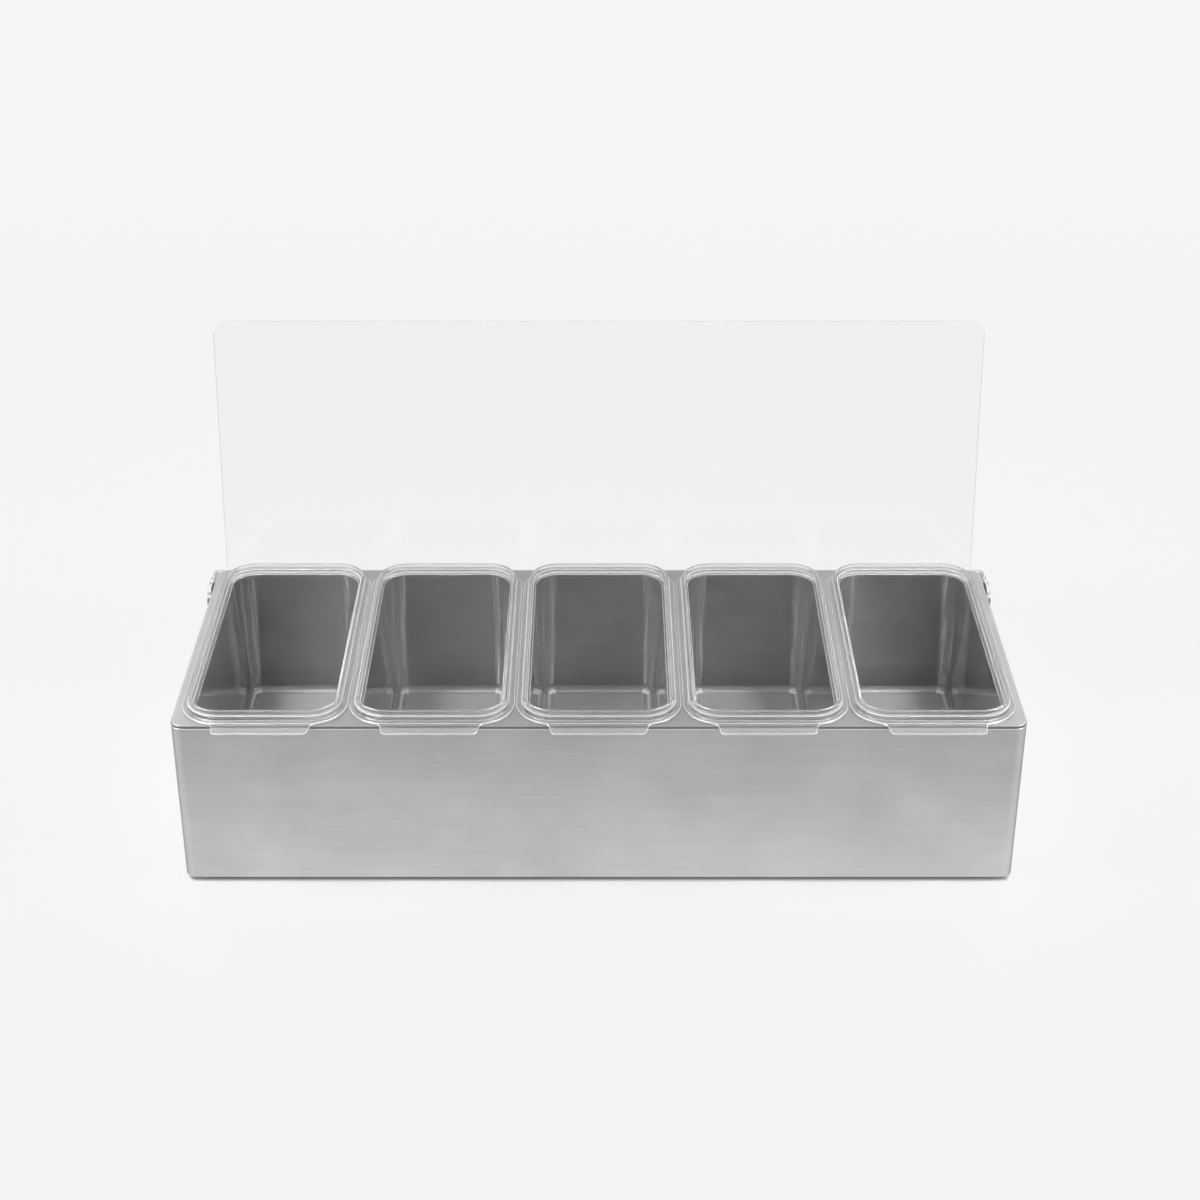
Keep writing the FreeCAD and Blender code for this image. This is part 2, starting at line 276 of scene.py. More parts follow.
def blackRubber(name, look):
    material, wire = newMaterial(name)
    place = wire.add("ShaderNodeTexCoord", out="Object")
    grain = noiseAt(wire, place, look["grainScale"], detail=3.0)
    bump = wire.add("ShaderNodeBump", None,
                    {"Strength": look["grainStrength"], "Distance": look["grainDepth"], "Height": grain})
    dark, light = ([look["grey"] * look[share]] * 3 for share in ("darkShare", "lightShare"))
    finishShader(wire, {
        "Base Color": grain.blend(rgba(dark), rgba(light)),
        "Roughness": look["roughness"] + grain * look["roughnessSpread"],
        "Normal": bump,
    })
    return material


nylonLook = {
    "dark": (0.74, 0.73, 0.70),
    "light": (0.82, 0.81, 0.78),
    "grainScale": (700, 700, 700),
    "roughness": 0.40,
    "roughnessSpread": 0.15,
}


def paleNylon(name, look):
    material, wire = newMaterial(name)
    place = wire.add("ShaderNodeTexCoord", out="Object")
    grain = noiseAt(wire, place, look["grainScale"])
    finishShader(wire, {
        "Base Color": grain.blend(rgba(look["dark"]), rgba(look["light"])),
        "Roughness": look["roughness"] + grain * look["roughnessSpread"],
    })
    return material


wallSteel = brushedSteel("wallSteel", 2, outsideLook)
innerSteel = brushedSteel("innerSteel", 2, insideLook)
deckSteel = brushedSteel("deckSteel", 1, deckLook)
# the darker edge steel is painted shade
edgeShadeSteel = brushedSteel("edgeShadeSteel", 2, edgeShadeLook)
floorSteel = brushedSteel("floorSteel", 1, floorLook)
screwSteel = polishedSteel("screwSteel", screwLook)
insertPlastic = clearPlastic("insertPlastic", insertLook)
lidPlastic = clearPlastic("lidPlastic", lidLook)
# a dark copy of the lid plastic: painted dark reflection on the lid's side faces
lidSideDarkReflectionPlastic = clearPlastic("lidSideDarkReflectionPlastic", lidSideDarkReflectionLook)
footRubber = blackRubber("footRubber", footLook)
washerBlack = blackRubber("washerBlack", spacerLook)
spacerNylon = paleNylon("spacerNylon", nylonLook)
print("materials made:", len(bpy.data.materials))


def newPiece(name, bm, material, smoothAngle=40):
    mesh = bpy.data.meshes.new(name)
    bm.to_mesh(mesh)
    bm.free()
    mesh.shade_smooth()
    mesh.set_sharp_from_angle(angle=math.radians(smoothAngle))
    mesh.materials.append(material)
    piece = bpy.data.objects.new(name, mesh)
    bpy.context.scene.collection.objects.link(piece)
    return piece


def evenNormals(piece):  # broad faces keep their own direction beside narrow rounds
    modifier = piece.modifiers.new("evenNormals", "WEIGHTED_NORMAL")
    modifier.keep_sharp = True
    modifier.weight = 60


cornerSign = ((1, 1), (-1, 1), (-1, -1), (1, -1))  # back right, back left, front left, front right


def ringSamples(perCorner):  # (corner, angle, share of the straight run after it)
    return [(k, math.radians(90 * k + 90 * i / perCorner), 0.0)
            for k in range(4) for i in range(perCorner + 1)]


def ringPoint(sample, halfWidth, halfDepth, radius):
    corner, angle, share = sample
    ends = []
    for k in (corner, (corner + 1) % 4):
        signX, signY = cornerSign[k]
        centre = Vector((signX * (halfWidth - radius), signY * (halfDepth - radius)))
        ends.append(centre + radius * Vector((math.cos(angle), math.sin(angle))))
    return ends[0].lerp(ends[1], share)


def ring(samples, halfWidth, halfDepth, radius, z, centre):
    flat = [ringPoint(s, halfWidth, halfDepth, radius) for s in samples]
    return [Vector((p.x + centre[0], p.y + centre[1], z)) for p in flat]


def addLoft(bm, rings, closed=False):  # quads between rings of points; returns the rows of vertices
    rows = [[bm.verts.new(p) for p in points] for points in rings]
    pairs = list(zip(rows, rows[1:] + rows[:1])) if closed else list(zip(rows, rows[1:]))
    for low, high in pairs:
        for i in range(len(low)):
            j = (i + 1) % len(low)
            bm.faces.new((low[i], low[j], high[j], high[i]))
    return rows


def edgeRound(inset, z, radius, steps):  # (inset, z) points round an upper outer edge, from the side
    turns = [math.pi / 2 * i / steps for i in range(steps + 1)]
    return [(inset + radius * (1 - math.cos(t)), z - radius + radius * math.sin(t)) for t in turns]


sheetSpace = {"middle": (0, -100, 0), "size": (1, 1, 1)}  # so far off that the brush lines run straight


def brushAlongX(piece):  # the finish of a level sheet runs along the box, not round its middle
    piece.data.use_auto_texspace = False
    piece.data.texspace_location = sheetSpace["middle"]
    piece.data.texspace_size = sheetSpace["size"]


wallSize = {
    "sheet": 1.0 * mm,
    "corner": 7.0 * mm,
    "topRound": 0.8 * mm,
    "roundSteps": 4,
    "bottomRound": 0.3 * mm,
    "flange": 5.0 * mm,  # turned in at the top, under the deck
    "perCorner": 12,
}


def boxWall():
    size = wallSize
    low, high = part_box("body_wrap")
    centre = (low + high) / 2
    half = (high - low) / 2
    sheet = size["sheet"]
    profile = [(sheet, low.z), (size["bottomRound"], low.z), (0.0, low.z + size["bottomRound"])]
    profile += edgeRound(0.0, high.z, size["topRound"], size["roundSteps"])
    profile += [(size["flange"], high.z), (size["flange"], high.z - sheet), (sheet, high.z - sheet)]
    samples = ringSamples(size["perCorner"])
    rings = []
    for inset, z in profile:
        radius = max(size["corner"] - inset, sheet)
        rings.append(ring(samples, half.x - inset, half.y - inset, radius, z, centre))
    bm = bmesh.new()
    addLoft(bm, rings, closed=True)
    for face in list(bm.faces)[-len(samples):]:  # the closing band is the wall's inner face
        face.material_index = 1
    bmesh.ops.recalc_face_normals(bm, faces=bm.faces)
    piece = newPiece("boxWall", bm, wallSteel)
    piece.data.materials.append(innerSteel)
    evenNormals(piece)
    return piece


deckSize = {
    "sheet": 1.2 * mm,
    "corner": 7.0 * mm,
    "edgeRound": 0.8 * mm,
    "edgeSteps": 5,
    "cutRound": 0.25 * mm,  # at the lower edge
    "shadeBands": 4,  # bands of faces painted darker as shade over the seam, below the turn of the round
    "openingRound": 0.3 * mm,
    "openingSteps": 3,
    "openingInset": 5.0 * mm,  # inside the rim's outer edge
    "seamDepth": 1.2 * mm,
    "hemWidth": 3.8 * mm,
    "hemCorner": 1.0 * mm,
    "perCorner": 12,
}

insertSize = {
    "count": 5,
    "pitch": 98.35 * mm,
    "gap": 1.0 * mm,
    "rimInset": 0.5 * mm,
    "rimCorner": 22.5 * mm,
    "flange": 1.4 * mm,
    "flangeRound": 0.6 * mm,
    "flangeFlat": 0.5 * mm,  # level part of the flange's top beside its round
    "flangeSteps": 4,
    "underRound": 0.3 * mm,
    "underTurn": 0.3,  # share of the round at its middle
    "sideHeights": (0.5 * mm, 0.6 * mm, 0.7 * mm),
    "stepInset": 3.1 * mm,
    "stepHeight": 4.4 * mm,
    "crownInset": 4.1 * mm,
    "crownHeight": 7.2 * mm,
    "crownWidth": 1.6 * mm,
    "ledgeInset": 6.7 * mm,
    "ledgeHeight": 4.2 * mm,
    "mouthInset": 8.0 * mm,
    "mouthHeight": 1.0 * mm,
    "wall": 2.2 * mm,
    "draft": 4.0 * mm,
    "depth": 86.0 * mm,
    "floorCorner": 10.2 * mm,
    "floorRound": 7.2 * mm,
    "floorSteps": 5,
    "floorFlat": 1.2 * mm,  # level border inside the round
    "lineRound": 0.5 * mm,  # small rounds at the rim's steps
    "airGap": 0.06 * mm,  # under the flange
    "tabRoot": 59.0 * mm,
    "tabTip": 54.8 * mm,
    "tabReach": 10.8 * mm,
    "tabCorner": 3.0 * mm,
    "tabCornerSteps": 8,
    "tabDrop": 0.35 * mm,  # tab below the flange's top
    "tabEdgeRound": 0.5 * mm,
    "tabEdgeSteps": 2,
    "tabRootRound": 2.5 * mm,
    "tabRootSteps": 6,
    "perCorner": 14,
    # paleness shares: rim, tab and wall are milkiness; line and corner set the painted highlights
    "milkAndHighlight": {"rim": 0.10, "line": 0.88, "tab": 0.03, "corner": 0.4, "wall": 0.02},
    "tabLine": (0.2, 1.0, 0.1),  # painted highlight: paleness over the tab's edge
    "flangeLine": (0.0, 0.5, 1.0, 0.5, 0.0),  # painted highlight over the flange's edge
    "stepLines": (0.0, 1.0, 0.5, 0.1, 0.6, 0.0, 0.9, 0.0, 0.8),  # painted highlight lines at the rim's edges, inwards
    "wallLine": (0.45, 1.0),  # painted corner highlights down the inner wall, over a faint milkiness
    "floorLine": (0.22, 0.30, 0.62, 0.2, 0.05, 0.03),  # up the round between floor and wall; its peak is a painted highlight line, the floor's share is milkiness lit by the lamps
    "floorGlints": 1.6,  # painted glints: how much paler the floor's line gets at the corners
}


def insertCentres():
    low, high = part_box("deck_plate")
    middle = (low + high) / 2
    count = insertSize["count"]
    places = [i - (count - 1) / 2 for i in range(count)]
    return [Vector((middle.x + place * insertSize["pitch"], middle.y)) for place in places]


def rimHalves():
    low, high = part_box("deck_plate")
    halfWidth = (insertSize["pitch"] - insertSize["gap"]) / 2
    return halfWidth, (high.y - low.y) / 2 - insertSize["rimInset"]


def deckPlate():
    size = deckSize
    low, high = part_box("deck_plate")
    middle = (low + high) / 2
    half = (high - low) / 2
    under = high.z - size["sheet"]
    samples = ringSamples(size["perCorner"])
    bm = bmesh.new()
    outline = [(size["cutRound"], under), (0.0, under + size["cutRound"])]
    outline += edgeRound(0.0, high.z, size["edgeRound"], size["edgeSteps"])
    rings = [ring(samples, half.x - d, half.y - d, size["corner"] - d, z, middle) for d, z in outline]
    outer = addLoft(bm, rings)
    # the lower bands of the deck's outer edge take the darker steel as painted shade
    for face in list(bm.faces)[:size["shadeBands"] * len(samples)]:
        face.material_index = 1
    tops = [outer[-1]]
    bottoms = [outer[0]]
    rimX, rimY = rimHalves()
    for centre in insertCentres():
        turn = edgeRound(0.0, high.z, size["openingRound"], size["openingSteps"])
        holeEdge = [(size["openingInset"], under)] + [(size["openingInset"] - d, z) for d, z in turn]
        corner = insertSize["rimCorner"]
        hole = [ring(samples, rimX - d, rimY - d, corner - d, z, centre) for d, z in holeEdge]
        rows = addLoft(bm, hole)
        tops.append(rows[-1])
        bottoms.append(rows[0])
    for loops in (tops, bottoms):
        edges = [bm.edges.get((row[i], row[(i + 1) % len(row)])) for row in loops for i in range(len(row))]
        bmesh.ops.triangle_fill(bm, edges=edges, use_beauty=True)
    hem = []
    hemStart = size["seamDepth"]
    hemEnd = size["seamDepth"] + size["hemWidth"]
    for inset, z in ((hemStart, low.z), (hemStart, under), (hemEnd, under), (hemEnd, low.z)):
        radius = max(size["corner"] - inset, size["hemCorner"])
        hem.append(ring(samples, half.x - inset, half.y - inset, radius, z, middle))
    addLoft(bm, hem, closed=True)
    bmesh.ops.recalc_face_normals(bm, faces=bm.faces)
    piece = newPiece("deckPlate", bm, deckSteel)
    piece.data.materials.append(edgeShadeSteel)
    brushAlongX(piece)
    evenNormals(piece)
    return piece


baseSize = {"softEdge": 0.2 * mm}


def basePlate():
    low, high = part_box("base_plate")
    middle = (low + high) / 2
    half = (high - low) / 2
    soft = baseSize["softEdge"]
    corner = wallSize["corner"] - wallSize["sheet"]
    samples = ringSamples(wallSize["perCorner"])
    outline = [(soft, low.z), (0.0, low.z + soft), (0.0, high.z - soft), (soft, high.z)]
    bm = bmesh.new()
    rows = addLoft(bm, [ring(samples, half.x - d, half.y - d, corner - d, z, middle) for d, z in outline])
    bm.faces.new(rows[0][::-1])
    bm.faces.new(rows[-1])
    bmesh.ops.recalc_face_normals(bm, faces=bm.faces)
    piece = newPiece("basePlate", bm, floorSteel)
    brushAlongX(piece)
    evenNormals(piece)
    return piece


def arcPoints(centre, radius, start, end, steps):  # (point, outward direction) along an arc
    points = []
    for i in range(steps + 1):
        angle = start + (end - start) * i / steps
        away = Vector((math.cos(angle), math.sin(angle)))
        points.append((centre + radius * away, away))
    return points


def tabSide(halfWidth, halfDepth):  # right half of the tab's outline, from the rim's corner on
    size = insertSize
    rimCorner = Vector((halfWidth - size["rimCorner"], size["rimCorner"] - halfDepth))
    root = Vector((size["tabRoot"] / 2, -halfDepth))
    tip = Vector((size["tabTip"] / 2, -halfDepth - size["tabReach"]))
    down = (tip - root).normalized()
    away = Vector((-down.y, down.x))
    radius = size["tabRootRound"]
    start = root + away * radius - rimCorner
    half = start.dot(down)
    reach = size["rimCorner"] + radius
    rootCentre = rimCorner + start + down * (math.sqrt(half ** 2 - start.length_squared + reach ** 2) - half)
    meetAngle = math.atan2(rootCentre.y - rimCorner.y, rootCentre.x - rimCorner.x)
    sideAngle = math.atan2(away.y, away.x)
    hollow = arcPoints(rootCentre, radius, meetAngle + math.pi, sideAngle + math.pi, size["tabRootSteps"])
    outline = [(p, -n) for p, n in hollow]
    corner = size["tabCorner"]
    turn = sideAngle + math.pi / 2
    inset = corner / math.tan((math.pi - turn) / 2)
    tipCentre = tip - down * inset - away * corner
    outline += arcPoints(tipCentre, corner, sideAngle, -math.pi / 2, size["tabCornerSteps"])
    outline.append((Vector((tipCentre.x / 2, tip.y)), Vector((0, -1))))
    return outline, meetAngle


def insertSamples(halfWidth, halfDepth):  # ring samples in step with the outline that has the tab
    size = insertSize
    right, meetAngle = tabSide(halfWidth, halfDepth)
    meet = meetAngle + 2 * math.pi
    left = [(Vector((-p.x, p.y)), Vector((-n.x, n.y))) for p, n in right]
    tip = (Vector((0, right[-1][0].y)), Vector((0, -1)))
    tab = left + [tip] + right[::-1]
    per = size["perCorner"]
    samples = ringSamples(per)[:2 * (per + 1)]
    mirrored = 3 * math.pi - meet
    samples += [(2, math.pi + (mirrored - math.pi) * i / per, 0.0) for i in range(per)]
    front = math.radians(270)
    share = len(tab) - 1
    arc = (front - mirrored) * size["rimCorner"]
    straight = 2 * (halfWidth - size["rimCorner"])
    for i in range(len(tab)):
        along = (2 * arc + straight) * i / share
        if along < arc:
            samples.append((2, mirrored + along / size["rimCorner"], 0.0))
        elif along <= arc + straight:
            samples.append((2, front, (along - arc) / straight))
        else:
            samples.append((3, front + (along - arc - straight) / size["rimCorner"], 0.0))
    samples += [(3, meet + (2 * math.pi - meet) * (i + 1) / per, 0.0) for i in range(per)]
    first = 2 * (per + 1) + per
    return samples, tab, first


def stepped(points, lines, radius, steps=4):  # (inset, z, paleness) along the rim, its corners rounded
    path = [Vector(p) for p in points]
    out = [(*path[0], 0.0)]
    for before, here, after, line in zip(path, path[1:], path[2:], lines):
        back = (before - here).normalized()
        ahead = (after - here).normalized()
        for i in range(steps + 1):
            t = i / steps
            a = here + back * radius * (1 - t)
            b = here + ahead * radius * t
            out.append((*a.lerp(b, t), line * math.sin(math.pi * t)))
    out.append((*path[-1], 0.0))
    return out


# painted highlight bands in the inserts' corners
cornerHighlightLook = {"main": 0.8, "mainWidth": 0.13, "second": 0.4, "secondWidth": 0.11, "secondShare": 0.5,
            "between": 0.2, "endRise": 8}  # places as shares of the turn


def cornerHighlight(sample):  # painted highlight: pale upright bands where a wall turns, strongest beside the front and back walls
    angle, share = sample[1:]
    if share:
        return 0.0
    look = cornerHighlightLook
    turn = math.asin(min(abs(math.sin(angle)), 1.0)) / (math.pi / 2)
    ends = min(turn, 1 - turn) * look["endRise"]
    main = math.exp(-((turn - look["main"]) / look["mainWidth"]) ** 2)
    second = math.exp(-((turn - look["second"]) / look["secondWidth"]) ** 2)
    return (main + look["secondShare"] * second + look["between"]) * min(ends, 1.0)


def insertMesh(centre, deckTop):
    size = insertSize
    halfWidth, halfDepth = rimHalves()
    samples, tab, first = insertSamples(halfWidth, halfDepth)

    def plain(inset, z, radius):
        return ring(samples, halfWidth - inset, halfDepth - inset, radius, deckTop + z, centre)

    def rim(inset, z):
        return plain(inset, z, size["rimCorner"] - inset)

    def withTab(inset, z, tabInset, tabZ):
        points = rim(inset, z)
        for i, (point, away) in enumerate(tab):
            flat = point - away * tabInset
            points[first + i] = Vector((flat.x + centre[0], flat.y + centre[1], deckTop + tabZ))
        return points

    def withRoot(inset, z, rootInset, rootZ):  # the flange's edge, carried on across the tab's root
        points = rim(inset, z)
        points[first:first + len(tab)] = rim(rootInset, rootZ)[first:first + len(tab)]
        return points

    def bowl(bottomInset, bottomCorner, floorZ, floorRound):  # the floor and the round that starts the wall
        rings = []
        for i in range(size["floorSteps"] + 1):
            turn = math.pi / 2 * i / size["floorSteps"]
            inward = floorRound * (1 - math.sin(turn))
            rise = floorRound * (1 - math.cos(turn))
            rings.append(plain(bottomInset + inward, floorZ + rise, bottomCorner - inward))
        flat = floorRound + size["floorFlat"]
        return [plain(bottomInset + flat, floorZ, bottomCorner - flat)] + rings

    wallInset = size["mouthInset"] - size["wall"]
    floorInset = wallInset + size["draft"]
    innerRound = size["floorRound"] - size["wall"]
    outside = bowl(floorInset, size["floorCorner"], -size["depth"], size["floorRound"])
    inside = bowl(floorInset + size["wall"], size["floorCorner"] - size["wall"],
                  size["wall"] - size["depth"], innerRound)
    under = size["underRound"]
    lift = size["airGap"]
    turned = under * size["underTurn"]
    foot = [(under, lift), (turned, lift + turned), (0.0, lift + under)]
    tabTop = size["flange"] - size["tabDrop"]
    side = [(0.0, z) for z in size["sideHeights"]]
    edge = edgeRound(0.0, size["flange"], size["flangeRound"], size["flangeSteps"])
    tabEdge = edgeRound(0.0, tabTop, size["tabEdgeRound"], size["tabEdgeSteps"])
    root = edgeRound(0.0, size["flange"], size["tabDrop"], size["flangeSteps"])
    crownEnd = size["crownInset"] + size["crownWidth"]
    flatEnd = size["flangeRound"] + size["flangeFlat"]
    corners = [(flatEnd, size["flange"]), (size["stepInset"], size["flange"]),
               (size["stepInset"], size["stepHeight"]), (size["crownInset"], size["stepHeight"]),
               (size["crownInset"], size["crownHeight"]), (crownEnd, size["crownHeight"]),
               (crownEnd, size["ledgeHeight"]), (size["ledgeInset"], size["ledgeHeight"]),
               (size["ledgeInset"], size["mouthHeight"]), (size["mouthInset"], size["mouthHeight"]),
               (size["mouthInset"], 0.0)]
    path = stepped(corners, size["stepLines"], size["lineRound"])[1:]
    rings = outside + [rim(wallInset, lift)]
    rings += [withTab(d, z, d, z) for d, z in foot]
    rings += [withTab(*plainAt, *tabAt) for plainAt, tabAt in zip(side, tabEdge)]
    rings += [withRoot(*plainAt, *rootAt) for plainAt, rootAt in zip(edge, root)]
    rings += [rim(d, z) for d, z, line in path] + inside[::-1]
    milkAndHighlight = size["milkAndHighlight"]
    count = len(samples)
    onTab = range(first, first + len(tab))
    even = [[0.0] * count] * (len(outside) + 1) + [[milkAndHighlight["tab"]] * count] * len(foot)
    # painted highlight lines along the tab's, flange's and rim's rounded edges
    for line in size["tabLine"]:
        even.append([milkAndHighlight["line"] * line if i in onTab else milkAndHighlight["tab"] for i in range(count)])
    even += [[milkAndHighlight["tab"] + milkAndHighlight["line"] * line] * count for line in size["flangeLine"]]
    even += [[milkAndHighlight["rim"] + milkAndHighlight["line"] * line] * count for d, z, line in path[:-1]]
    # painted highlight bands down the inserts' corners
    bands = [cornerHighlight(s) for s in samples]
    wallStart = len(even)
    even += [[milkAndHighlight["wall"] + milkAndHighlight["corner"] * b * part for b in bands] for part in size["wallLine"]]
    streaky = range(wallStart, len(even))
    # the floor's bright line and corner glints are painted highlights
    even += [[line * (1 + size["floorGlints"] * b) for b in bands] for line in size["floorLine"][::-1]]
    bm = bmesh.new()
    # per-point paleness: painted highlights and milkiness
    paleLayer = bm.verts.layers.float.new("milkAndHighlight")
    streakLayer = bm.verts.layers.float.new("streak")
    rows = addLoft(bm, rings)
    for number, (row, shares) in enumerate(zip(rows, even)):
        for vert, share in zip(row, shares):
            vert[paleLayer] = share
            vert[streakLayer] = 1.0 if number in streaky else 0.0
    bm.faces.new(rows[0][::-1])
    bm.faces.new(rows[-1])
    bmesh.ops.recalc_face_normals(bm, faces=bm.faces)
    return bm


weldReach = {"spun": 1e-7, "lid": 1e-6}  # points nearer than this become one


def spun(profile, steps=48, hollow=True, tip=None):  # (radius, height) points spun about Z, then tipped over
    bm = bmesh.new()
    rings = []
    for radius, z in profile:
        turns = [2 * math.pi * i / steps for i in range(steps)]
        rings.append([Vector((radius * math.cos(t), radius * math.sin(t), z)) for t in turns])
    addLoft(bm, rings, closed=hollow)
    bmesh.ops.remove_doubles(bm, verts=bm.verts, dist=weldReach["spun"])
    if tip:
        angle, axis = tip
        over = Matrix.Rotation(math.radians(angle), 3, axis)
        bmesh.ops.rotate(bm, verts=bm.verts, cent=(0, 0, 0), matrix=over)
    bmesh.ops.recalc_face_normals(bm, faces=bm.faces)
    return bm


def newTree(name, inputs):
    tree = bpy.data.node_groups.new(name, "GeometryNodeTree")
    tree.interface.new_socket("Geometry", in_out="INPUT", socket_type="NodeSocketGeometry")
    keys = {}
    for label, kind in inputs:
        keys[label] = tree.interface.new_socket(label, in_out="INPUT", socket_type=kind).identifier
    tree.interface.new_socket("Geometry", in_out="OUTPUT", socket_type="NodeSocketGeometry")
    return tree, keys


def cornerSetTree():  # the piece repeated at the four corners of a rectangle
    tree, keys = newTree("cornerSet", [("Span X", "NodeSocketFloat"), ("Span Y", "NodeSocketFloat"),
                                       ("Centre", "NodeSocketVector"), ("Finish", "NodeSocketMaterial")])
    wire = Wire(tree)
    entry = tree.nodes.new("NodeGroupInput")
    given = {s.name: Wire(tree, s) for s in entry.outputs}
    grid = wire.add("GeometryNodeMeshGrid", None, {"Size X": given["Span X"], "Size Y": given["Span Y"],
                                                   "Vertices X": 2, "Vertices Y": 2})
    placed = wire.add("GeometryNodeTransform", None, {"Geometry": grid, "Translation": given["Centre"]})
    copies = wire.add("GeometryNodeInstanceOnPoints", None, {"Points": placed, "Instance": given["Geometry"]})
    real = wire.add("GeometryNodeRealizeInstances", None, {"Geometry": copies})
    coated = wire.add("GeometryNodeSetMaterial", None, {"Geometry": real, "Material": given["Finish"]})
    wire.add("NodeGroupOutput", None, {"Geometry": coated})
    return tree, keys


def mirrorPairTree():  # the piece at the right end and its mirror image at the left
    tree, keys = newTree("mirrorPair", [("Place", "NodeSocketVector"), ("Finish", "NodeSocketMaterial")])
    wire = Wire(tree)
    entry = tree.nodes.new("NodeGroupInput")
    given = {s.name: Wire(tree, s) for s in entry.outputs}
    right = wire.add("GeometryNodeTransform", None,
                     {"Geometry": given["Geometry"], "Translation": given["Place"]})
    left = wire.add("GeometryNodeTransform", None, {"Geometry": right, "Scale": (-1, 1, 1)})
    outward = wire.add("GeometryNodeFlipFaces", None, {"Mesh": left})
    both = tree.nodes.new("GeometryNodeJoinGeometry")
    for part in (outward, right):
        tree.links.new(part.socket, both.inputs[0])
    real = wire.add("GeometryNodeRealizeInstances", None, {"Geometry": Wire(tree, both.outputs[0])})
    coated = wire.add("GeometryNodeSetMaterial", None, {"Geometry": real, "Material": given["Finish"]})
    wire.add("NodeGroupOutput", None, {"Geometry": coated})
    return tree, keys


def grown(piece, treeAndKeys, values):  # the tree's result as a plain mesh
    tree, keys = treeAndKeys
    modifier = piece.modifiers.new(tree.name, "NODES")
    modifier.node_group = tree
    for label, value in values.items():
        modifier[keys[label]] = value
    bpy.context.view_layer.update()
    evaluated = piece.evaluated_get(bpy.context.evaluated_depsgraph_get())
    mesh = bpy.data.meshes.new_from_object(evaluated)
    piece.modifiers.remove(modifier)
    piece.data = mesh
    return piece


def fasten(piece, body, slot, *replaced):
    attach(piece, body)
    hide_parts(*replaced)


fasten(boxWall(), "base", "brushed_steel", "body_wrap")
fasten(deckPlate(), "base", "brushed_steel", "deck_plate")
fasten(basePlate(), "base", "brushed_steel", "base_plate")
print("steel box made")

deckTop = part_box("deck_plate")[1].z
for number, centre in enumerate(insertCentres(), 1):
    pan = newPiece(f"clearInsert{number}", insertMesh(centre, deckTop), insertPlastic)
    evenNormals(pan)
    fasten(pan, f"insert_{number}", "clear_insert", f"insert_{number}")
print("inserts made")

lidSize = {
    "edgeRound": 0.35 * mm,
    "edgeSteps": 2,
    "flatAngle": 0.5,  # degrees; faces nearer than this to level become one
    "sharpAngle": 40,
    "sideTurn": 0.9,  # faces turned this far to the side are the sawn ones, which take the painted dark reflection
}


def clearLid():  # the bent sheet with its edges softened
    bm = bmesh.new()
    bm.from_mesh(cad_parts["lid"].data)
    bmesh.ops.remove_doubles(bm, verts=bm.verts, dist=weldReach["lid"])
    flat = math.radians(lidSize["flatAngle"])
    bmesh.ops.dissolve_limit(bm, angle_limit=flat, verts=bm.verts, edges=bm.edges)
    turn = math.radians(lidSize["sharpAngle"])
    sharp = [e for e in bm.edges if len(e.link_faces) == 2 and e.calc_face_angle() > turn]
    bmesh.ops.bevel(bm, geom=sharp, offset=lidSize["edgeRound"], segments=lidSize["edgeSteps"],
                    profile=0.5, affect="EDGES")
    # side faces get the dark tint of a painted reflection
    for face in bm.faces:
        face.material_index = 1 if abs(face.normal.x) > lidSize["sideTurn"] else 0
    piece = newPiece("clearLid", bm, lidPlastic)
    piece.data.materials.append(lidSideDarkReflectionPlastic)
    return piece


lid = clearLid()
evenNormals(lid)
fasten(lid, "lid", "clear_lid", "lid")
print("lid made")

footSize = {
    "screwHole": 1.6 * mm,
    "recess": 4.5 * mm,
    "recessDepth": 1.7 * mm,
    "edge": 0.6 * mm,
    "edgeSteps": 4,
    "topEdge": 0.2 * mm,
    "taper": 1.0 * mm,
}


def footProfile(radius, height):
    size = footSize
    bottom = radius - size["taper"]
    profile = [(size["screwHole"], size["recessDepth"]), (size["recess"], size["recessDepth"])]
    profile.append((size["recess"], 0.0))
    for i in range(size["edgeSteps"] + 1):
        turn = math.pi / 2 * i / size["edgeSteps"]
        profile.append((bottom - size["edge"] * (1 - math.sin(turn)), size["edge"] * (1 - math.cos(turn))))
    top = size["topEdge"]
    profile += [(radius, height - top), (radius - top, height), (size["screwHole"], height)]
    return profile


def domeProfile(radius, height, steps=8):
    ball = (radius ** 2 + height ** 2) / (2 * height)
    widest = math.asin(radius / ball)
    turns = [widest * (1 - i / steps) for i in range(steps + 1)]
    return [(ball * math.sin(t), height - ball + ball * math.cos(t)) for t in turns]


cornerSet = cornerSetTree()
mirrorPair = mirrorPairTree()
feet = [f"foot_{a}_{b}" for a in ("front", "rear") for b in ("left", "right")]
boxes = {name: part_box(name) for name in feet}
footLow, footHigh = boxes["foot_front_left"]
farLow, farHigh = boxes["foot_rear_right"]
span = farLow - footLow
footCentre = (footLow + farHigh) / 2
footCentre.z = 0.0
footRadius = (footHigh.x - footLow.x) / 2
fourPlaces = {"Span X": span.x, "Span Y": span.y, "Centre": footCentre}
rubberFeet = newPiece("rubberFeet", spun(footProfile(footRadius, footHigh.z)), footRubber)
grown(rubberFeet, cornerSet, {**fourPlaces, "Finish": footRubber})
fasten(rubberFeet, "base", "black_rubber", *feet)

for name in ("foot_screws", "foot_nuts", "hinge_nut_left", "hinge_nut_right"):
    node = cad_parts[name]
    node.data.materials.clear()
    node.data.materials.append(screwSteel)

hingeSize = {
    "bore": 3.05 * mm,
    "shoulder": 3.0 * mm,
    "shank": 2.0 * mm,
    "softEdge": 0.15 * mm,
    "padEdge": 1.6 * mm,
}


